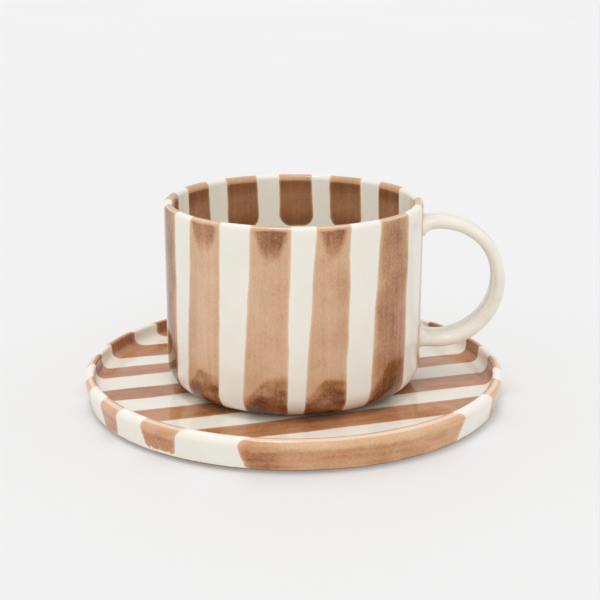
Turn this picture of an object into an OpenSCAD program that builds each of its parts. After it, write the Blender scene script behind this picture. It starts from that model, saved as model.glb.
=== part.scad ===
/* [Mug] */
// Outside diameter of the mug's straight wall
mug_d = 88; // [76:1:108]
// Height of the mug from the bottom of its foot to the top of its lip
mug_h = 64.5; // [54:0.5:80]
// Thickness of the mug's wall, which is rounded over at the lip
wall_t = 3.2; // [2.4:0.1:4.5]
// Thickness of the mug's floor above the hollow inside its foot ring
mug_floor_t = 3.8; // [3:0.1:6]
// Outside radius of the corner between the wall and the underside
corner_r = 8; // [6:0.5:11]
// Inside radius of the corner between the wall and the floor
inside_corner_r = 5.5; // [4:0.5:9]
// How far the mug's foot ring is set in from the wall
mug_foot_inset = 9.5; // [8:0.5:16]
// Width of the mug's foot ring
mug_foot_w = 4.5; // [3:0.5:8]
// Height of the mug's foot ring
mug_foot_h = 0.7; // [0.5:0.1:2]

/* [Handle] */
// Gap between the top of the handle's ring and the top of the mug's lip
handle_top_gap = 5.7; // [5:0.1:12]
// Gap between the bottom of the handle's ring and the bottom of the mug's foot
handle_bottom_gap = 13.2; // [12:0.1:20]
// How far the centre of the handle's ring stands out from the mug's wall
ring_standoff = 5.4; // [3:0.1:9]
// Thickness of the strap that the ring is bent from
strap_t = 3.8; // [3:0.1:6]
// Width of the strap, across the ring
strap_w = 13.5; // [9:0.5:20]
// Thickness of the slip that beds each end of the strap on the wall
slip_t = 0.6; // [0.4:0.1:1.2]
// How far the slip's bead stands out around the strap
slip_bead = 1.2; // [0.8:0.1:2]
// How far the slip's bead climbs up the strap from the wall
slip_climb = 1.8; // [1.2:0.1:2.6]

/* [Saucer] */
// Outside diameter of the saucer's lip
saucer_d = 145.4; // [132:0.2:176]
// Height of the saucer's lip above the table
saucer_h = 11.4; // [9:0.2:16]
// Thickness of the saucer's upright rim
rim_t = 3.4; // [2.8:0.1:5]
// Radius of the lip's outside edge; its inside edge takes the rest of the rim's thickness
lip_outside_r = 2.4; // [1.6:0.1:2.6]
// Height of the saucer's flat floor above the table
saucer_floor_h = 5.4; // [4:0.1:7]
// How far the outside of the rim flares out from its bottom edge to its lip
rim_flare = 1.5; // [0:0.1:2]
// Radius of the inside corner between the saucer's floor and its rim
dish_corner_r = 3; // [1.5:0.1:4]
// Slant at the bottom edge of the rim's outside
rim_base_slant = 1.2; // [0.5:0.1:2]
// How far the saucer's foot ring is set in from the bottom edge of the rim
saucer_foot_inset = 4; // [3:0.5:20]
// Width of the saucer's foot ring
saucer_foot_w = 6; // [4:0.5:10]
// Height of the saucer's foot ring
saucer_foot_h = 0.8; // [0.6:0.1:1.6]

/* [Hidden] */
$fn = 128;

cream = [0.92, 0.9, 0.85];
striped = [0.85, 0.74, 0.64];
pale_slip = [0.88, 0.85, 0.79];

// Clearance past a surface for anything that is cut away
cut = 1;
// Slant on the edges of both foot rings
foot_edge = 0.4;

mug_r = mug_d / 2;
inside_r = mug_r - wall_t;
lip_r = wall_t / 2;
mug_foot_r = mug_r - mug_foot_inset;
inside_floor_h = mug_foot_h + mug_floor_t;

ring_outer_r = (mug_h - handle_top_gap - handle_bottom_gap) / 2;
ring_r = ring_outer_r - strap_t / 2;
ring_x = mug_r + ring_standoff;
ring_h = handle_bottom_gap + ring_outer_r;
// Angle from the ring's outermost point to where its centre line meets the wall
ring_meets_wall = acos(-ring_standoff / ring_r);
// Further angle that takes the strap's whole section into the wall before it is trimmed
ring_trim = 14;

saucer_r = saucer_d / 2;
lip_inside_r = rim_t - lip_outside_r;
rim_base_r = saucer_r - rim_flare;
saucer_foot_r = rim_base_r - saucer_foot_inset;

// Half section of a round block with a rounded bottom edge
module round_block_section(r, h, corner) {
    square([r - corner, h]);
    translate([0, corner]) square([r, h - corner]);
    translate([r - corner, corner]) circle(corner);
}

// Half section of a foot ring that stands on z = 0 and reaches up into the clay above it
module foot_section(r, w, h) {
    polygon([
        [r - w + foot_edge, 0],
        [r - foot_edge, 0],
        [r, foot_edge],
        [r, h + cut],
        [r - w, h + cut],
        [r - w, foot_edge]
    ]);
}

// Half section of the mug's wall and floor, standing on z = 0
module mug_section() {
    difference() {
        union() {
            translate([0, mug_foot_h])
                round_block_section(mug_r, mug_h - lip_r - mug_foot_h, corner_r);
            foot_section(mug_foot_r, mug_foot_w, mug_foot_h);
        }
        translate([0, inside_floor_h])
            round_block_section(inside_r, mug_h, inside_corner_r);
    }
    translate([mug_r - lip_r, mug_h - lip_r]) circle(lip_r);
}

// Section of the strap, with rounded edges, widened all round by grow
module strap_section(grow) {
    end_r = strap_t / 2 + grow;
    flat_w = strap_w - strap_t;
    translate([-end_r, -flat_w / 2]) square([2 * end_r, flat_w]);
    for (side = [-1, 1])
        translate([0, side * flat_w / 2]) circle(end_r);
}

// Arc of the handle's ring from one angle to another, standing on the mug's foot level
module ring_arc(from, to, grow) {
    translate([ring_x, 0, ring_h])
        rotate([90, 0, 0])
            rotate([0, 0, from])
                rotate_extrude(angle = to - from)
                    translate([ring_r, 0]) strap_section(grow);
}

// Everything within a distance of the mug's outside wall, used to trim the handle
module inside_wall(gap) {
    cylinder(r = mug_r + gap, h = mug_h);
}

// Bead of slip round one end of the strap, at the top (side = 1) or the bottom (side = -1)
module slip_joint(side) {
    middle = side * ring_meets_wall;
    difference() {
        intersection() {
            ring_arc(middle - ring_trim, middle + ring_trim, slip_bead);
            inside_wall(slip_climb);
        }
        inside_wall(0);
        handle_ring();
    }
}

module handle_ring() {
    reach = ring_meets_wall + ring_trim;
    difference() {
        ring_arc(-reach, reach, 0);
        inside_wall(slip_t);
    }
}

// What stands on the saucer's floor
module on_saucer() {
    translate([0, 0, saucer_floor_h]) children();
}

// Half section of the saucer, standing on z = 0
module saucer_section() {
    lip_crown_r = saucer_r - lip_outside_r;
    difference() {
        polygon([
            [0, saucer_foot_h],
            [rim_base_r - rim_base_slant, saucer_foot_h],
            [rim_base_r, saucer_foot_h + rim_base_slant],
            [saucer_r, saucer_h - lip_outside_r],
            [lip_crown_r, saucer_h - lip_outside_r],
            [lip_crown_r, saucer_h - lip_inside_r],
            [0, saucer_h - lip_inside_r]
        ]);
        translate([0, saucer_floor_h])
            round_block_section(saucer_r - rim_t, saucer_h, dish_corner_r);
    }
    foot_section(saucer_foot_r, saucer_foot_w, saucer_foot_h);
    translate([lip_crown_r, saucer_h - lip_outside_r]) circle(lip_outside_r);
    translate([lip_crown_r, saucer_h - lip_inside_r]) circle(lip_inside_r);
}

module saucer() {
    color(striped)
        rotate_extrude() saucer_section();
}

module mug_body() {
    color(striped)
        on_saucer() rotate_extrude() mug_section();
}

module mug_handle() {
    color(cream)
        on_saucer() handle_ring();
}

module upper_slip_joint() {
    color(pale_slip)
        on_saucer() slip_joint(1);
}

module lower_slip_joint() {
    color(pale_slip)
        on_saucer() slip_joint(-1);
}

saucer();
mug_body();
mug_handle();
upper_slip_joint();
lower_slip_joint();
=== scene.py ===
import math

import bpy
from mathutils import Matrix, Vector


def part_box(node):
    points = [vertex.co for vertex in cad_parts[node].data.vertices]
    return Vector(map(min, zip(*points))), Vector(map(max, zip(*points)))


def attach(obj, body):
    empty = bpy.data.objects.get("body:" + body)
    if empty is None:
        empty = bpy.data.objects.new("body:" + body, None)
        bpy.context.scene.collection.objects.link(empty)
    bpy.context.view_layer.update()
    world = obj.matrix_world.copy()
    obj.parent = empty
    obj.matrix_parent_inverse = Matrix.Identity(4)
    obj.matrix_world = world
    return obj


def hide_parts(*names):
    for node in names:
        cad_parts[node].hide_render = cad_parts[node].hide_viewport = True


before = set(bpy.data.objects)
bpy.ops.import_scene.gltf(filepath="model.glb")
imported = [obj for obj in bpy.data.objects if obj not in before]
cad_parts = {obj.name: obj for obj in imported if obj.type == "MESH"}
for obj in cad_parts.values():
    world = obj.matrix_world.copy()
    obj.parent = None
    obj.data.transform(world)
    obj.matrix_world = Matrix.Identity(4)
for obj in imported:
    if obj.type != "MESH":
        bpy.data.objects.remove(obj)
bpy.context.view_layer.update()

MM = 0.001

# ---------------------------------------------------------------------------
# Sizes. The outer ones come from the frame, the rest are the potter's own.
# ---------------------------------------------------------------------------

mug_low, mug_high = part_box("mug_body")
dish_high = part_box("saucer")[1]
ring_low, ring_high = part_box("mug_handle")

# The mug
MUG_R = (mug_high.x - mug_low.x) / 2
MUG_FOOT_Z = mug_low.z
MUG_LIP_Z = mug_high.z
WALL = 3.2 * MM
LIP_ROUND = WALL / 2
MUG_CORNER = 8 * MM
MUG_INSIDE_CORNER = 5.5 * MM
MUG_FOOT_OUT = MUG_R - 9.5 * MM
MUG_FOOT_IN = MUG_FOOT_OUT - 4.5 * MM
MUG_FOOT_H = 0.7 * MM
MUG_FOOT_HOLLOW = 0.3 * MM
MUG_UNDER_Z = MUG_FOOT_Z + MUG_FOOT_H
MUG_FLOOR_Z = MUG_UNDER_Z + 3.8 * MM

# The handle, and the slip that holds it
STRAP_T = 3.8 * MM
STRAP_W = ring_high.y - ring_low.y
STRAP_CROWN = 0.12
RING_OUT = (ring_high.z - ring_low.z) / 2
RING_R = RING_OUT - STRAP_T / 2
RING_X = ring_high.x - RING_OUT
RING_Z = (ring_high.z + ring_low.z) / 2
ROOT_ANGLE = math.degrees(math.acos((MUG_R - RING_X) / RING_R))
PAST_ROOT = 12
WAIST_SLIMMER = 0.45 * MM
ROOT_WIDER = 0.7 * MM
ROOT_STARTS = 0.7
SLIP_BED = 0.6 * MM
SLIP_IN_WALL = 0.12 * MM
SLIP_BEAD = 1.2 * MM
SLIP_CLIMB = 2.6 * MM
SLIP_BURIED = 1.6 * MM
SLIP_THIN = 0.07 * MM
SLIP_HEEL = 0.5 * MM
SLIP_CURVE = 2.1

# The saucer
DISH_R = dish_high.x
DISH_LIP_Z = dish_high.z
DISH_FLOOR_Z = MUG_FOOT_Z
RIM = 3.4 * MM
LIP_OUT_R = 2.4 * MM
LIP_IN_R = RIM - LIP_OUT_R
RIM_FLARE = 1.5 * MM
DISH_CORNER = 3 * MM
DISH_BASE_ROUND = 1.2 * MM
DISH_FOOT_H = 0.8 * MM
DISH_FOOT_HOLLOW = 0.4 * MM
DISH_BASE_R = DISH_R - RIM_FLARE
DISH_FOOT_OUT = DISH_BASE_R - 4 * MM
DISH_FOOT_IN = DISH_FOOT_OUT - 6 * MM

# Both pots: the first and last rings of an outline, the edges of the feet, and the spacing of the points
POLE_R = 2 * MM
FOOT_EDGE = 0.3 * MM
MUG_STEP = 1.6 * MM
DISH_STEP = 1.8 * MM
RIM_STEP = 1 * MM


# ---------------------------------------------------------------------------
# Outlines, as lists of (radius, height)
# ---------------------------------------------------------------------------

def round_part(centre, radius, start, end, steps):
    """Points round an arc of an outline, angles in degrees from straight out."""
    points = []
    for i in range(steps + 1):
        a = math.radians(start + (end - start) * i / steps)
        points.append((centre[0] + radius * math.cos(a), centre[1] + radius * math.sin(a)))
    return points


def straight_to(points, end, step):
    """Carries the outline on to a point in even steps no longer than step."""
    start = points[-1]
    length = math.hypot(end[0] - start[0], end[1] - start[1])
    pieces = max(1, math.ceil(length / step))
    for i in range(1, pieces + 1):
        t = i / pieces
        points.append((start[0] + (end[0] - start[0]) * t, start[1] + (end[1] - start[1]) * t))


def foot_ring(points, inner, outer, top, bottom, hollow, step):
    """Carries an outline under a foot ring, from the recess inside it to the clay outside it."""
    straight_to(points, (inner - hollow, top), step)
    points += round_part((inner - hollow, top - hollow), hollow, 90, 0, 4)[1:]
    straight_to(points, (inner, bottom + FOOT_EDGE), step)
    points += round_part((inner + FOOT_EDGE, bottom + FOOT_EDGE), FOOT_EDGE, 180, 270, 4)[1:]
    straight_to(points, (outer - FOOT_EDGE, bottom), step)
    points += round_part((outer - FOOT_EDGE, bottom + FOOT_EDGE), FOOT_EDGE, 270, 360, 4)[1:]
    straight_to(points, (outer, top - hollow), step)
    points += round_part((outer + hollow, top - hollow), hollow, 180, 90, 4)[1:]


def mug_outline():
    """From the middle of the underside, round the foot, up the wall, over the lip and down to the floor."""
    points = [(POLE_R, MUG_UNDER_Z)]
    foot_ring(points, MUG_FOOT_IN, MUG_FOOT_OUT, MUG_UNDER_Z, MUG_FOOT_Z, MUG_FOOT_HOLLOW, MUG_STEP)
    corner = (MUG_R - MUG_CORNER, MUG_UNDER_Z + MUG_CORNER)
    points += round_part(corner, MUG_CORNER, 270, 360, 12)
    straight_to(points, (MUG_R, MUG_LIP_Z - LIP_ROUND), MUG_STEP)
    points += round_part((MUG_R - LIP_ROUND, MUG_LIP_Z - LIP_ROUND), LIP_ROUND, 0, 180, 16)[1:]
    inside_r = MUG_R - WALL
    straight_to(points, (inside_r, MUG_FLOOR_Z + MUG_INSIDE_CORNER), MUG_STEP)
    corner = (inside_r - MUG_INSIDE_CORNER, MUG_FLOOR_Z + MUG_INSIDE_CORNER)
    points += round_part(corner, MUG_INSIDE_CORNER, 0, -90, 10)[1:]
    straight_to(points, (POLE_R, MUG_FLOOR_Z), MUG_STEP)
    return points


def saucer_outline():
    """From the middle of the underside, round the foot, up the rim, over the lip and across the floor."""
    points = [(POLE_R, DISH_FOOT_H)]
    foot_ring(points, DISH_FOOT_IN, DISH_FOOT_OUT, DISH_FOOT_H, 0, DISH_FOOT_HOLLOW, DISH_STEP)
    straight_to(points, (DISH_BASE_R - DISH_BASE_ROUND, DISH_FOOT_H), DISH_STEP)
    base = (DISH_BASE_R - DISH_BASE_ROUND, DISH_FOOT_H + DISH_BASE_ROUND)
    lean = math.degrees(math.atan2(RIM_FLARE, DISH_LIP_Z - LIP_OUT_R - base[1]))
    points += round_part(base, DISH_BASE_ROUND, 270, 360 - lean, 6)[1:]
    crown = DISH_R - LIP_OUT_R
    straight_to(points, (DISH_R, DISH_LIP_Z - LIP_OUT_R), RIM_STEP)
    points += round_part((crown, DISH_LIP_Z - LIP_OUT_R), LIP_OUT_R, 0, 90, 12)[1:]
    points += round_part((crown, DISH_LIP_Z - LIP_IN_R), LIP_IN_R, 90, 180, 8)[1:]
    straight_to(points, (DISH_R - RIM, DISH_FLOOR_Z + DISH_CORNER), RIM_STEP)
    corner = (DISH_R - RIM - DISH_CORNER, DISH_FLOOR_Z + DISH_CORNER)
    points += round_part(corner, DISH_CORNER, 0, -90, 8)[1:]
    straight_to(points, (POLE_R, DISH_FLOOR_Z), DISH_STEP)
    return points


# ---------------------------------------------------------------------------
# Modelling
# ---------------------------------------------------------------------------

def clear_selection():
    """Nothing is left selected, so that the next operator acts on the new piece alone."""
    if bpy.context.mode != "OBJECT":
        bpy.ops.object.mode_set(mode="OBJECT")
    bpy.ops.object.select_all(action="DESELECT")


def take_up(piece):
    """Makes a piece the one that the next operator works on."""
    clear_selection()
    piece.select_set(True)
    bpy.context.view_layer.objects.active = piece


def named(name):
    """Gives the piece just added its name and returns it."""
    piece = bpy.context.object
    piece.name = name
    piece.data.name = name
    return piece


def settle(piece):
    """Puts a piece's place into its mesh, so that its object stands at the origin."""
    take_up(piece)
    bpy.ops.object.transform_apply(location=True, rotation=True, scale=True)


def throw(name, outline, segments):
    """Throws a closed round pot: a disc is drawn out ring by ring along its outline, then closed."""
    clear_selection()
    radius, height = outline[0]
    bpy.ops.mesh.primitive_circle_add(
        vertices=segments, radius=radius, fill_type="TRIFAN", location=(0, 0, height))
    piece = named(name)
    settle(piece)
    bpy.ops.object.mode_set(mode="EDIT")
    bpy.ops.mesh.select_mode(type="VERT")
    bpy.ops.mesh.select_all(action="SELECT")
    bpy.ops.mesh.flip_normals()
    bpy.ops.mesh.select_all(action="DESELECT")
    bpy.ops.mesh.select_non_manifold()
    for radius_now, height_now in outline[1:]:
        bpy.ops.mesh.extrude_edges_move(
            TRANSFORM_OT_translate={"value": (0, 0, height_now - height)})
        if radius_now != radius:
            grow = radius_now / radius
            bpy.ops.transform.resize(value=(grow, grow, 1), center_override=(0, 0, height_now))
        radius, height = radius_now, height_now
    bpy.ops.mesh.edge_face_add()
    bpy.ops.mesh.poke()
    bpy.ops.mesh.select_all(action="SELECT")
    bpy.ops.mesh.normals_make_consistent(inside=False)
    clear_selection()
    return piece


def pick(piece, wanted):
    """Selects, in edit mode, just the points whose place is wanted."""
    bpy.ops.object.mode_set(mode="OBJECT")
    mesh = piece.data
    for part in (*mesh.edges, *mesh.polygons):
        part.select = False
    for vertex in mesh.vertices:
        vertex.select = wanted(vertex.co)
    bpy.ops.object.mode_set(mode="EDIT")


def finish_with(piece, modifier):
    """Works a modifier into the piece's own mesh."""
    take_up(piece)
    bpy.ops.object.modifier_apply(modifier=modifier.name)


def keep_true(piece, how_free):
    """Marks how far each point may wander from true: 0 where it meets another piece, 1 where it is free."""
    group = piece.vertex_groups.new(name="free")
    for vertex in piece.data.vertices:
        group.add([vertex.index], min(max(how_free(vertex.co), 0), 1), "REPLACE")


def hand_made(piece, size, depth):
    """Lets the surface wander a little from true, as clay that was shaped by hand does."""
    clouds = bpy.data.textures.new("hand", "CLOUDS")
    clouds.noise_scale = size
    clouds.noise_depth = 1
    wander = piece.modifiers.new("hand", "DISPLACE")
    wander.texture = clouds
    wander.texture_coords = "GLOBAL"
    wander.mid_level = 0.5
    wander.strength = depth
    wander.vertex_group = "free"
    finish_with(piece, wander)
    bpy.data.textures.remove(clouds)


def smooth(piece):
    """Shades the piece smooth, all but its sharp edges."""
    take_up(piece)
    bpy.ops.object.shade_smooth_by_angle(angle=math.radians(50))
    clear_selection()


def cut_away(piece, cutter):
    """Takes away all of the piece that lies inside the cutter."""
    trim = piece.modifiers.new("trim", "BOOLEAN")
    trim.operation = "DIFFERENCE"
    trim.solver = "EXACT"
    trim.object = cutter
    finish_with(piece, trim)


def trim_to_wall(piece, radius):
    """Trims clay to the mug's wall, with a round bar as wide as the mug."""
    clear_selection()
    bpy.ops.mesh.primitive_cylinder_add(
        vertices=384, radius=radius, depth=2 * MUG_LIP_Z, location=(0, 0, MUG_LIP_Z))
    wall = named("wall")
    cut_away(piece, wall)
    bpy.data.objects.remove(wall)


def strap_section(name):
    """The strap's section, lying at the handle's widest point: round edges and slightly crowned faces."""
    clear_selection()
    bpy.ops.mesh.primitive_circle_add(
        vertices=36, radius=STRAP_T / 2, fill_type="NGON", location=(0, 0, 0))
    piece = named(name)
    bpy.ops.object.mode_set(mode="EDIT")
    bpy.ops.mesh.select_mode(type="VERT")
    flat = (STRAP_W - STRAP_T) / 2
    for side in (-1, 1):
        pick(piece, lambda co: co.y * side > 0)
        bpy.ops.transform.translate(value=(0, side * flat, 0))

    # The long edges of both flat faces are divided, and their points are lifted most in the middle
    levels = 4
    bpy.ops.mesh.select_all(action="DESELECT")
    bpy.ops.mesh.select_mode(type="EDGE")
    bpy.ops.object.mode_set(mode="OBJECT")
    for edge in piece.data.edges:
        ends = [piece.data.vertices[i].co for i in edge.vertices]
        edge.select = (ends[0] - ends[1]).length > flat
    bpy.ops.object.mode_set(mode="EDIT")
    bpy.ops.mesh.subdivide(number_cuts=2 * levels - 1)
    bpy.ops.mesh.select_mode(type="VERT")
    on_face = 0.45 * STRAP_T
    for i in range(levels):
        level = flat * i / levels
        pick(piece, lambda co: abs(abs(co.y) - level) < 0.1 * MM and abs(co.x) > on_face)
        crown = 1 + STRAP_CROWN * (1 - (i / levels) ** 2)
        bpy.ops.transform.resize(value=(crown, 1, 1), center_override=(0, 0, 0))
    bpy.ops.mesh.select_all(action="SELECT")
    bpy.ops.transform.translate(value=(RING_X + RING_R, 0, RING_Z))
    return piece


def bend(name, sections):
    """Draws the strap round its ring through (angle in degrees, extra thickness, extra width) sections."""
    middle = (RING_X, 0, RING_Z)
    widest = (RING_X + RING_R, 0, RING_Z)
    piece = strap_section(name)

    def swing(degrees):
        bpy.ops.transform.rotate(value=math.radians(degrees), orient_axis="Y", center_override=middle)

    angle, thickness, width = 0, STRAP_T, STRAP_W
    for i, (next_angle, more_thick, more_wide) in enumerate(sections):
        if i:
            bpy.ops.mesh.extrude_region_move()
        swing(-angle)
        scale = ((STRAP_T + more_thick) / thickness, (STRAP_W + more_wide) / width, 1)
        bpy.ops.transform.resize(value=scale, center_override=widest)
        swing(next_angle)
        angle, thickness, width = next_angle, STRAP_T + more_thick, STRAP_W + more_wide
    bpy.ops.mesh.select_all(action="SELECT")
    bpy.ops.mesh.normals_make_consistent(inside=False)
    settle(piece)
    return piece


def pressed_wider(angle):
    """How much wider the strap is at an angle round its ring, as it nears the wall it was pressed on to."""
    near_root = max(0, abs(angle) / ROOT_ANGLE - ROOT_STARTS) / (1 - ROOT_STARTS)
    return ROOT_WIDER * near_root ** 2


def ring_handle():
    """The strap handle: a shade slimmer at its widest point and a shade wider where it is pressed on."""
    steps = 110
    reach = ROOT_ANGLE + PAST_ROOT
    sections = []
    for i in range(steps + 1):
        angle = reach * (2 * i / steps - 1)
        waist = 1 - min(1, abs(angle) / ROOT_ANGLE) ** 2
        sections.append((angle, 0, pressed_wider(angle) - WAIST_SLIMMER * waist))
    piece = bend("ring_handle", sections)
    trim_to_wall(piece, MUG_R + SLIP_BED)
    return piece


def slip_fillet(name, side, strap):
    """The slip that holds a strap end: a bed under it and a hollow-sided bead that climbs round it."""
    steps = 16
    sections = []
    for i in range(steps + 1):
        off_wall = SLIP_CLIMB - (SLIP_CLIMB + SLIP_BURIED) * i / steps
        towards_wall = 1 - (off_wall + SLIP_HEEL) / (SLIP_CLIMB + SLIP_HEEL)
        grow = 2 * (SLIP_THIN + SLIP_BEAD * min(1, max(0, towards_wall)) ** SLIP_CURVE)
        angle = ROOT_ANGLE - math.degrees(off_wall / RING_R)
        sections.append((side * angle, grow, grow + pressed_wider(angle)))
    piece = bend(name, sections)
    trim_to_wall(piece, MUG_R - SLIP_IN_WALL)
    cut_away(piece, strap)
    return piece


# ---------------------------------------------------------------------------
# The pieces
# ---------------------------------------------------------------------------

def free_mug(co):
    """The mug's foot stays true, and its clay is free from a little above it."""
    return (co.z - MUG_UNDER_Z) / (6 * MM)


def free_saucer(co):
    """The saucer stays true under the mug and where it stands, and is freest at its rim."""
    outwards = (math.hypot(co.x, co.y) - MUG_FOOT_OUT) / (20 * MM)
    upwards = (co.z - 0.2 * MM) / (3 * MM)
    return outwards * upwards


def free_handle(co):
    """The strap's ends stay true, where the slip holds them."""
    return (math.hypot(co.x, co.y) - MUG_R - 3 * MM) / (6 * MM)


mug_cup = throw("mug_cup", mug_outline(), segments=192)
keep_true(mug_cup, free_mug)
hand_made(mug_cup, size=30 * MM, depth=0.26 * MM)

saucer_disc = throw("saucer_disc", saucer_outline(), segments=224)
keep_true(saucer_disc, free_saucer)
hand_made(saucer_disc, size=40 * MM, depth=0.3 * MM)

handle = ring_handle()
upper_fillet = slip_fillet("upper_slip_fillet", side=1, strap=handle)
lower_fillet = slip_fillet("lower_slip_fillet", side=-1, strap=handle)
keep_true(handle, free_handle)
hand_made(handle, size=12 * MM, depth=0.3 * MM)

for piece, node, body in (
        (mug_cup, "mug_body", "mug"),
        (saucer_disc, "saucer", "saucer"),
        (handle, "mug_handle", "mug"),
        (upper_fillet, "upper_slip_joint", "mug"),
        (lower_fillet, "lower_slip_joint", "mug")):
    smooth(piece)
    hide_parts(node)
    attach(piece, body)


# ---------------------------------------------------------------------------
# Finishes. All lengths in them are in millimetres.
# ---------------------------------------------------------------------------

class Wire:
    """A value inside a finish. Arithmetic written on it becomes Math nodes."""

    def __init__(self, finish, node, output=0):
        self.finish = finish
        self.node = node
        self.socket = node.outputs[output]

    def out(self, name):
        """Another output of the same node."""
        return Wire(self.finish, self.node, name)

    def __add__(self, other):
        return self.finish.maths("ADD", self, other)

    def __radd__(self, other):
        return self.finish.maths("ADD", other, self)

    def __sub__(self, other):
        return self.finish.maths("SUBTRACT", self, other)

    def __rsub__(self, other):
        return self.finish.maths("SUBTRACT", other, self)

    def __mul__(self, other):
        return self.finish.maths("MULTIPLY", self, other)

    def __rmul__(self, other):
        return self.finish.maths("MULTIPLY", other, self)

    def __truediv__(self, other):
        return self.finish.maths("DIVIDE", self, other)

    def __neg__(self):
        return self.finish.maths("MULTIPLY", self, -1)

    def __abs__(self):
        return self.finish.maths("ABSOLUTE", self)


class Finish:
    """One material. Every node in it comes from add()."""

    def __init__(self, name):
        self.material = bpy.data.materials.new(name)
        self.material.use_nodes = True
        self.tree = self.material.node_tree
        self.tree.nodes.clear()

    def add(self, kind, settings=None, sockets=None, output=0):
        """Adds a node: its settings, a value or a wire for each socket, and the output to go on from."""
        node = self.tree.nodes.new(kind)
        for key, value in (settings or {}).items():
            if key == "stops":
                self.place_stops(node.color_ramp, value)
            else:
                setattr(node, key, value)
        for key, value in (sockets or {}).items():
            if isinstance(value, Wire):
                self.tree.links.new(value.socket, node.inputs[key])
            else:
                node.inputs[key].default_value = value
        return Wire(self, node, output) if node.outputs else None

    @staticmethod
    def place_stops(ramp, stops):
        while len(ramp.elements) > 1:
            ramp.elements.remove(ramp.elements[-1])
        ramp.elements[0].position = stops[0][0]
        ramp.elements[0].color = stops[0][1]
        for position, colour in stops[1:]:
            ramp.elements.new(position).color = colour

    def maths(self, operation, *values):
        return self.add("ShaderNodeMath", {"operation": operation}, dict(enumerate(values)))

    def place(self):
        """The point being glazed, measured from the middle of the saucer's foot."""
        metres = self.add("ShaderNodeTexCoord", output="Object")
        return self.stretched(metres, (1 / MM, 1 / MM, 1 / MM))

    def split(self, vector):
        """The three numbers of a point."""
        parts = self.add("ShaderNodeSeparateXYZ", None, {0: vector})
        return parts, parts.out("Y"), parts.out("Z")

    def stretched(self, vector, scale):
        return self.add("ShaderNodeVectorMath", {"operation": "MULTIPLY"}, {0: vector, 1: scale})

    def mottle(self, vector, size, detail=2):
        """Cloudy variation about nought, roughly -0.25 to 0.25, its patches this size across each way."""
        if not isinstance(size, tuple):
            size = (size, size, size)
        scaled = self.stretched(vector, tuple(1 / s for s in size))
        noise = self.add("ShaderNodeTexNoise", None, {
            "Vector": scaled, "Scale": 1, "Detail": detail, "Roughness": 0.5})
        return noise - 0.5

    def fade(self, value, start, end):
        """0 at start and beyond, 1 at end and beyond, smoothly between."""
        return self.add("ShaderNodeMapRange", {"interpolation_type": "SMOOTHSTEP"}, {
            "Value": value, "From Min": start, "From Max": end})

    def shades(self, value, stops):
        """The colour for a value, from (value, sRGB colour) stops."""
        return self.add("ShaderNodeValToRGB", {
            "stops": [(position, srgb(*colour)) for position, colour in stops]}, {"Fac": value})

    def profile(self, value, stops):
        """The number for a value, from (value, number) stops joined by straight lines."""
        return self.add("ShaderNodeValToRGB", {
            "stops": [(position, (level, level, level, 1)) for position, level in stops]}, {"Fac": value})

    def blend(self, share, first, second):
        """Mixes two colours; share is how much of the second."""
        sockets = {0: share, 6: first, 7: second}
        return self.add("ShaderNodeMix", {"data_type": "RGBA"}, sockets, output=2)

    def between(self, share, first, second):
        """Goes from one number to another."""
        return first + share * (second - first)

    def fire(self, colour, roughness, height):
        """Puts the finish on a shader, as glossy glaze over clay."""
        bump = self.add("ShaderNodeBump", None, {"Strength": 1, "Distance": MM, "Height": height})
        shader = self.add("ShaderNodeBsdfPrincipled", None, {
            "Base Color": colour, "Roughness": roughness, "Normal": bump,
            "IOR": 1.5, "Specular IOR Level": 0.42})
        self.add("ShaderNodeOutputMaterial", None, {"Surface": shader})
        return self.material


def srgb(red, green, blue):
    """A colour given as eight-bit sRGB."""
    linear = []
    for level in (red, green, blue):
        level = level / 255
        linear.append(level / 12.92 if level <= 0.04045 else ((level + 0.055) / 1.055) ** 2.4)
    return (*linear, 1)


CREAM = srgb(245, 241, 231)
WARM_CREAM = srgb(241, 235, 222)
THIN_CREAM = srgb(229, 219, 199)
# The pale colour of the painted highlight along both pots' lips.
PAINTED_LIP_HIGHLIGHT = srgb(253, 249, 241)
IRON_SPECK = srgb(176, 140, 108)
CLAY = srgb(172, 142, 113)
TOASTED_CLAY = srgb(142, 110, 84)

# From a thin wash of the mug's brown to the deepest pool of it, and the same for the saucer's redder brown
BROWN = (
    (0.00, (231, 199, 166)),
    (0.20, (223, 185, 150)),
    (0.40, (209, 167, 131)),
    (0.60, (186, 135, 97)),
    (0.80, (142, 90, 55)),
    (1.00, (92, 54, 30)))
RED_BROWN = (
    (0.00, (235, 201, 167)),
    (0.20, (227, 186, 149)),
    (0.40, (215, 168, 128)),
    (0.60, (196, 140, 99)),
    (0.80, (156, 97, 59)),
    (1.00, (96, 56, 32)))

# How much brown the brush left on each part, as a place on those scales
MUG_WASH = 0.34
MUG_INSIDE_WASH = 0.72
MUG_CREST_WASH = 0.34
DISH_FLOOR_WASH = 0.66
DISH_RIM_WASH = 0.5
DISH_CREST_WASH = 0.3

# Roughness of the glaze on each pot and of the bare clay
MUG_GLOSS = 0.1
DISH_GLOSS = 0.09
CLAY_ROUGH = 0.85

# Where the mug's brush strokes run, in degrees round it from its front
MUG_STRIPES = (
    (-162.8, -143.8), (-133.5, -115.2), (-104.5, -88), (-79, -60.8), (-50.2, -32.3), (-19.6, -1.5),
    (7.3, 23.7), (36.6, 57.5), (74, 91), (112.7, 131), (141.5, 160.5), (168.7, 187.4))
# How far the strokes swing round and how much they widen on each side, in degrees for each millimetre down
MUG_STRIPE_SWING = 0.052
MUG_STRIPE_TAPER = 0.023
MUG_STRIPE_MIDDLE = 40
# The radius at which they stop under the mug, and the height at which they stop inside it
MUG_STRIPE_UNDER_R = 37.6
MUG_STRIPE_INSIDE_Z = 50.7
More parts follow.
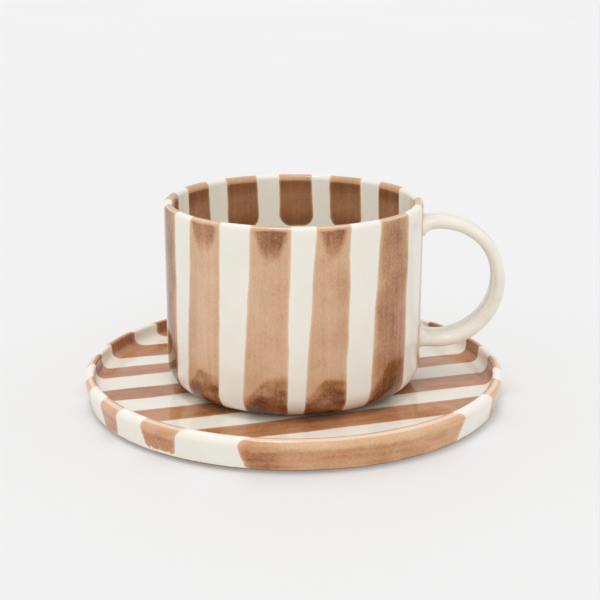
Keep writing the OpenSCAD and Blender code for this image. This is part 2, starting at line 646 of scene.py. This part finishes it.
# How much more or less brown each stroke has, by the degrees at its middle: partly the brush's load, partly
# painted shade and reflection that darken the strokes towards the mug's sides and lighten the one at the
# front left
STROKE_LOAD_AND_PAINTED_SHADE = (
    (-153, 0.02), (-124, -0.05), (-96, 0.12), (-70, 0.42), (-41, -0.12), (-10, 0), (15.5, 0),
    (47, 0.3), (82, 0.06), (122, -0.04), (151, 0.03), (178, -0.02))

# Where the saucer's bands run, in millimetres across it, and how far they are turned from left to right
SAUCER_BANDS = (
    (-80, -61.5), (-49.4, -37), (-27.1, -15.2), (-4.4, 6.4), (18.7, 28.6), (37.8, 50.8), (58.6, 72.5))
SAUCER_BAND_SPAN = 200
SAUCER_BAND_SLANT = math.radians(17.5)

# A profile of stripes holds depths from half of this outside a stripe to half of it inside one
BAND_REACH = 24


def round_the_mug(degrees):
    """A place round the mug, from 0 at the seam at its back, past its front at 0.5, to 1."""
    return degrees / 360 + 0.5


STROKE_LOAD_AND_SHADE_STOPS = [(round_the_mug(degrees), 0.5 + extra) for degrees, extra in STROKE_LOAD_AND_PAINTED_SHADE]
# How far across its stroke a place is, from 0 at the left edge to 1 at the right one
STRIPE_SWEEP = [(0, 0.5), (round_the_mug(MUG_STRIPES[0][0]) - 0.001, 0)]
for left, right in MUG_STRIPES[:-1]:
    STRIPE_SWEEP += [(round_the_mug(left), 0), (round_the_mug(right), 1)]
STRIPE_SWEEP += [(round_the_mug(MUG_STRIPES[-1][0]), 0), (1, 0.6)]


def bands(edges, span, round_about):
    """Stops for a profile of depth into the nearest stripe: above 0.5 inside one, below 0.5 between two."""
    stops = []
    for i, (low, high) in enumerate(edges):
        stops.append(((low + high) / 2, (high - low) / 2))
        if i + 1 < len(edges):
            next_low = edges[i + 1][0]
            stops.append(((high + next_low) / 2, (high - next_low) / 2))
    if round_about:
        high, next_low = edges[-1][1] - span, edges[0][0]
        stops.insert(0, ((high + next_low) / 2, (high - next_low) / 2))
        first, last = stops[0], stops[-1]
        share = (span / 2 - last[0]) / (first[0] + span - last[0])
        seam = last[1] + (first[1] - last[1]) * share
        stops = [(-span / 2, seam), *stops, (span / 2, seam)]
    return [(where / span + 0.5, 0.5 + depth / BAND_REACH) for where, depth in stops]


def round_corner(finish, first, second, radius):
    """Keeps to the smaller of two depths, with the corner between them rounded to a radius."""
    a = finish.maths("MAXIMUM", radius - first, 0)
    b = finish.maths("MAXIMUM", radius - second, 0)
    return radius - finish.maths("SQRT", a * a + b * b)


def cream_glaze(finish, place):
    """Cream glaze with faint clouds in it and the odd iron speck."""
    clouds = finish.mottle(place, 16, 3) * 1.6 + 0.4
    colour = finish.blend(finish.fade(clouds, 0, 1), CREAM, WARM_CREAM)
    specks = finish.fade(finish.mottle(place, 1.1, 1), 0.27, 0.31)
    return finish.blend(specks * 0.22, colour, IRON_SPECK)


def glaze_skin(finish, place):
    """The small unevenness of a fired glaze."""
    return finish.mottle(place, 9, 1) * 0.16 + finish.mottle(place, 2.2, 1) * 0.025


def brushed_on(finish, place, depth, load, scale):
    """Brown brushed over the cream where the depth is above nought: its cover, and the colour of both."""
    cover = finish.fade(depth, -0.12, 0.22)
    brown = finish.shades(load, scale)
    return cover, finish.blend(cover, cream_glaze(finish, place), brown)


def wiped_foot(finish, z, radius, top, outer, inner):
    """1 where the glaze was wiped off round a foot, up to a height and between two radii."""
    below = finish.fade(z, top, top - 0.2)
    ring = finish.fade(radius, outer + 0.15, outer - 0.15) * finish.fade(radius, inner - 0.9, inner - 0.6)
    return below * ring


def fire_pot(finish, place, colour, cover, bare, gloss):
    """Lays gritty, toasted clay where the glaze is wiped off, and fires the pot."""
    grit = finish.mottle(place, 0.6, 3)
    clay = finish.blend(finish.fade(grit, -0.2, 0.25), CLAY, TOASTED_CLAY)
    rough = gloss + finish.mottle(place, 12, 2) * 0.12 + cover * 0.02
    height = glaze_skin(finish, place) + cover * 0.05 + bare * grit * 0.3
    return finish.fire(finish.blend(bare, colour, clay), finish.between(bare, rough, CLAY_ROUGH), height)


def striped_mug_glaze():
    """Cream with upright strokes: thin on the wall, blotched at the lip, pooled at the foot, thick inside,
    with painted shade on the strokes towards the mug's sides.
    """
    finish = Finish("striped_mug_glaze")
    place = finish.place()
    x, y, z = finish.split(place)
    radius = finish.maths("SQRT", x * x + y * y)
    drop = MUG_LIP_Z / MM - z
    rise = z - MUG_FOOT_Z / MM
    crown_r = (MUG_R - LIP_ROUND) / MM
    below_middle = MUG_STRIPE_MIDDLE - z
    within = finish.fade(radius, crown_r - 0.5, crown_r - 0.7) * finish.fade(rise, 3.6, 4)

    # How deep a place is inside a stroke, whose ends are rounded inside the mug and ragged under it
    turn = finish.maths("ARCTAN2", x, -y) / (2 * math.pi) + 0.5 + below_middle * (MUG_STRIPE_SWING / 360)
    turn = finish.maths("FRACT", turn)
    degree = math.radians(1) * MUG_R / MM
    wander = finish.mottle(place, 18, 1) * 1.3 + finish.mottle(place, 3, 1) * 0.35
    stripe = (finish.profile(turn, bands(MUG_STRIPES, 360, True)) - 0.5) * (BAND_REACH * degree)
    stripe = stripe + below_middle * (MUG_STRIPE_TAPER * degree) + wander
    ragged = finish.mottle(place, 2.6, 2) * 3 + finish.mottle(place, 11, 1) * 2
    outside = round_corner(finish, stripe, radius - MUG_STRIPE_UNDER_R + ragged, 1.5)
    dip = finish.mottle(place, 20, 1) * 3
    inside = round_corner(finish, stripe, z - MUG_STRIPE_INSIDE_Z + dip, 5)
    depth = finish.between(within, outside, inside)

    # The marks of the brush
    strokes = finish.mottle(place, (1.5, 1.5, 30), 2)
    hairs = finish.mottle(place, (0.55, 0.55, 7), 1)
    grains = finish.mottle(place, 0.7, 2)
    clouds = finish.mottle(place, 9, 2)
    texture = strokes * 0.22 + hairs * 0.09 + grains * 0.34 + clouds * 0.36
    # Each stroke's extra brown: partly its own load, partly painted shade and reflection.
    extra = finish.profile(turn, STROKE_LOAD_AND_SHADE_STOPS) - 0.5

    # Where the brush was set down under the lip: a blotch that narrows downwards, not in the darkest strokes
    blotch_top = 0.6 - clouds * 1.6
    narrowing = (drop - 1.4) * 0.34 + finish.mottle(place, 6, 1) * 2.4
    blotch = finish.fade(drop, 13.4, 4.4) * finish.fade(drop, blotch_top, blotch_top + 1)
    blotch = blotch * finish.fade(extra, 0.12, 0.04)
    blotch = blotch * finish.fade(stripe, 0.1 + narrowing, 2.6 + narrowing)

    # Where the brown ran together at the foot, higher on the right of each stroke
    sweep = finish.fade(finish.profile(turn, STRIPE_SWEEP), 0, 0.5)
    pool_top = 9 + sweep * (7 + extra * 6) + finish.mottle(place, 13, 1) * 8
    pool = finish.fade(rise, pool_top, pool_top - 2.2) * 0.3
    pool = pool + finish.fade(rise, pool_top - 2, pool_top - 7) * 0.22
    pool_streaks = finish.mottle(place, (8, 8, 3.6), 1)
    pool = pool * (1 - extra * 1.7) * (1 + pool_streaks * 1.5)

    # The brown outside, inside and on the lip, thinner along the edges of each stroke
    outer_load = MUG_WASH + texture + extra * finish.fade(stripe, -1, 3) + blotch * 0.4 + pool
    under_lip = finish.fade(drop, 7.9, 3.4)
    at_end = finish.fade(drop, 11.9, 18.9)
    inner_load = MUG_INSIDE_WASH + texture * 0.5 + under_lip * 0.1 + at_end * 0.15
    load = finish.between(within, outer_load, inner_load)
    inner_side = finish.fade(radius, crown_r + 0.2, crown_r - 0.2)
    crest = finish.fade(drop - inner_side * 1.3, 1.2, 0.3)
    load = finish.between(crest * 0.85, load, MUG_CREST_WASH + texture * 0.7)
    load = load - finish.fade(depth, 1, 0.1) * 0.22
    cover, colour = brushed_on(finish, place, depth, load, BROWN)

    # A painted highlight: a pale line along the outer side of the lip, where the glaze also runs thin.
    lip_highlight_share = finish.fade(drop, 0.6, 0.4) * finish.fade(drop, 0.1, 0.25)
    lip_highlight_share = lip_highlight_share * finish.fade(radius, crown_r + 0.2, crown_r + 0.6)
    colour = finish.blend(lip_highlight_share * 0.35, colour, PAINTED_LIP_HIGHLIGHT)
    # The bare clay reaches past the foot towards the mug's lowest seen edge: partly bare clay, partly painted
    # shade for the dark gap under the mug.
    wiped = MUG_FOOT_OUT / MM + 3.2 + finish.mottle(place, 5, 1) * 1.2
    bare = wiped_foot(finish, z, radius, MUG_UNDER_Z / MM + 0.8, wiped, MUG_FOOT_IN / MM)
    return fire_pot(finish, place, colour, cover, bare, MUG_GLOSS)


def striped_saucer_glaze():
    """Cream with straight bands across the saucer, which run on over its rim; the rim's shoulders are lighter
    from thinner glaze and a painted highlight.
    """
    finish = Finish("striped_saucer_glaze")
    place = finish.place()
    x, y, z = finish.split(place)
    radius = finish.maths("SQRT", x * x + y * y)
    drop = DISH_LIP_Z / MM - z
    rim_r = DISH_R / MM
    along = x * math.cos(SAUCER_BAND_SLANT) + y * math.sin(SAUCER_BAND_SLANT)
    across = y * math.cos(SAUCER_BAND_SLANT) - x * math.sin(SAUCER_BAND_SLANT)
    outer = finish.fade(radius, rim_r - 2.6, rim_r - 2)
    beneath = finish.fade(radius, rim_r - 2.5, rim_r - 3) * finish.fade(z, 3, 2)

    # How deep a place is inside a band; bands narrow down the outside of the rim and end ragged at its foot
    wander = finish.mottle(place, 24, 1) * 1.6 + finish.mottle(place, 3, 1) * 0.35
    place_across = (across - outer * (drop - 6) * 0.14) / SAUCER_BAND_SPAN + 0.5
    band = (finish.profile(place_across, bands(SAUCER_BANDS, SAUCER_BAND_SPAN, False)) - 0.5) * BAND_REACH
    band = band + wander - outer * drop * abs(along) * (0.2 / 72)
    chipped = finish.fade(abs(x + 44), 9, 5)
    ragged = finish.mottle(place, 1.1, 1) * (1 + chipped * 2.6) + finish.mottle(place, 16, 1) * 1.2
    lower_edge = z - 1.3 - chipped * 0.9 + x * 0.008 + ragged - beneath * 6
    depth = round_corner(finish, band, lower_edge, 1.2)

    # The marks of the brush, along the bands on the floor and round the rim on its wall
    brushed = finish.add("ShaderNodeCombineXYZ", None, {0: along, 1: across, 2: z})
    strokes = finish.mottle(brushed, (34, 1.7, 12), 2)
    hairs = finish.mottle(brushed, (9, 0.6, 4), 1)
    grains = finish.mottle(place, 0.7, 2)
    clouds = finish.mottle(place, 12, 2)
    ring_strokes = finish.mottle(place, (16, 16, 1.3), 2)
    texture = grains * 0.26 + clouds * 0.36

    # The brown on the floor, the wall and the lip, thinner along the edges of each band
    floor_load = DISH_FLOOR_WASH + texture * 0.8 + strokes * 0.2 + hairs * 0.1
    # The wall is paler just under the lip: partly thinner glaze there, partly a painted highlight on its
    # rounding.
    shoulder_highlight_and_thin_glaze = finish.fade(drop + finish.mottle(place, 7, 2) * 3, 4.1, 2.5)
    front_middle = finish.fade(abs(x + 14), 17, 6)
    front_left = finish.fade(x, -22, -40)
    wall_load = DISH_RIM_WASH + texture * 1.3 + ring_strokes * 0.35 - shoulder_highlight_and_thin_glaze * 0.24
    wall_load = wall_load + front_middle * 0.2 + front_left * 0.1
    load = finish.between(outer, floor_load, wall_load)
    crest = finish.fade(drop, 0.5, 0.15)
    load = finish.between(crest * 0.8, load, DISH_CREST_WASH + texture * 0.6)
    inner_edge = finish.fade(radius, rim_r - 2.2, rim_r - 2.6) * finish.fade(radius, rim_r - 4, rim_r - 3)
    load = load + inner_edge * 0.2 - finish.fade(depth, 1, 0.1) * 0.18
    cover, colour = brushed_on(finish, place, depth, load, RED_BROWN)

    # A painted highlight: a pale line along the lip, where the glaze also runs thin.
    lip_highlight_share = finish.fade(drop, 0.65, 0.4) * finish.fade(radius, rim_r - 2.2, rim_r - 1.8)
    colour = finish.blend(lip_highlight_share * 0.4, colour, PAINTED_LIP_HIGHLIGHT)
    # The bare clay reaches out to the base of the rim: partly bare clay, partly painted shade for the dark
    # line where the saucer meets the floor.
    wiped = rim_r - 1.5 + finish.mottle(place, 6, 1) * 0.5
    bare = wiped_foot(finish, z, radius, DISH_FOOT_H / MM + 0.95, wiped, DISH_FOOT_IN / MM)
    return fire_pot(finish, place, colour, cover, bare, DISH_GLOSS)


def plain_glaze(name, thin_edges):
    """Cream glaze alone, run thin to a share along the edges of the strap."""
    finish = Finish(name)
    place = finish.place()
    y = finish.split(place)[1]
    half_width = STRAP_W / MM / 2
    edge = finish.fade(abs(y), half_width - 1.6, half_width - 0.3)
    thin = edge * (0.55 + finish.mottle(place, 5, 2) * 1.6) * thin_edges
    colour = finish.blend(thin, cream_glaze(finish, place), THIN_CREAM)
    rough = MUG_GLOSS + finish.mottle(place, 8, 2) * 0.12
    return finish.fire(colour, rough, glaze_skin(finish, place))


def glowing_pale_floor():
    """A matt pale sheet that glows faintly though it is no lamp: painted light that lightens the shadows cast
    on it.
    """
    finish = Finish("glowing_pale_floor")
    place = finish.place()
    tone = finish.fade(finish.mottle(place, 300, 1), -0.3, 0.3)
    colour = finish.blend(tone, srgb(201, 201, 201), srgb(203, 203, 203))
    grain = finish.add("ShaderNodeBump", None, {
        "Strength": 1, "Distance": 0.02 * MM, "Height": finish.mottle(place, 2, 2)})
    shader = finish.add("ShaderNodeBsdfPrincipled", None, {
        "Base Color": colour, "Roughness": 0.65 + finish.mottle(place, 30, 2) * 0.1, "Normal": grain,
        # A painted glow, which lightens the shadows on the floor.
        "Emission Color": (1, 1, 1, 1), "Emission Strength": 0.24})
    finish.add("ShaderNodeOutputMaterial", None, {"Surface": shader})
    return finish.material


def glaze(piece, material):
    """Puts a finish on a piece, in place of any it has."""
    piece.data.materials.clear()
    piece.data.materials.append(material)


glaze(mug_cup, striped_mug_glaze())
glaze(saucer_disc, striped_saucer_glaze())
glaze(handle, plain_glaze("cream_handle_glaze", thin_edges=0.5))
slip_finish = plain_glaze("glazed_slip", thin_edges=0)
glaze(upper_fillet, slip_finish)
glaze(lower_fillet, slip_finish)

# ---------------------------------------------------------------------------
# The floor, the light and the camera
# ---------------------------------------------------------------------------

FLOOR_SIZE = 9
SURROUND_STRENGTH = 0.8
CAMERA_PLACE = (2.2 * MM, -428.03 * MM, 160.7 * MM)
CAMERA_LOOKS_DOWN = 16.506
CAMERA_LENS = 77.204
CAMERA_FILM = 36

clear_selection()
bpy.ops.mesh.primitive_plane_add(size=FLOOR_SIZE, location=(0, 0, 0))
floor = named("floor")
floor.data.materials.append(glowing_pale_floor())

scene = bpy.context.scene
scene.view_settings.view_transform = "Standard"
world = bpy.data.worlds.new("studio")
world.use_nodes = True
surround = world.node_tree.nodes["Background"]
surround.inputs["Color"].default_value = (1, 1, 1, 1)
surround.inputs["Strength"].default_value = SURROUND_STRENGTH
scene.world = world


def soft_light(name, direction, width, strength):
    """A far studio light: the direction it stands in, how many degrees wide it looks and its strength."""
    clear_selection()
    bpy.ops.object.light_add(type="SUN", location=direction)
    light = bpy.context.object
    light.name = name
    light.data.angle = math.radians(width)
    light.data.energy = strength
    light.rotation_euler = Vector(direction).to_track_quat("Z", "Y").to_euler()


soft_light("front_softbox", direction=(0, -0.75, 0.85), width=60, strength=0.3)
soft_light("overhead_lamp", direction=(-0.1, -0.14, 1), width=16, strength=0.65)

clear_selection()
bpy.ops.object.camera_add(location=CAMERA_PLACE, rotation=(math.radians(90 - CAMERA_LOOKS_DOWN), 0, 0))
camera = bpy.context.object
camera.data.lens = CAMERA_LENS
camera.data.sensor_width = CAMERA_FILM
camera.data.clip_start = 0.01
scene.camera = camera
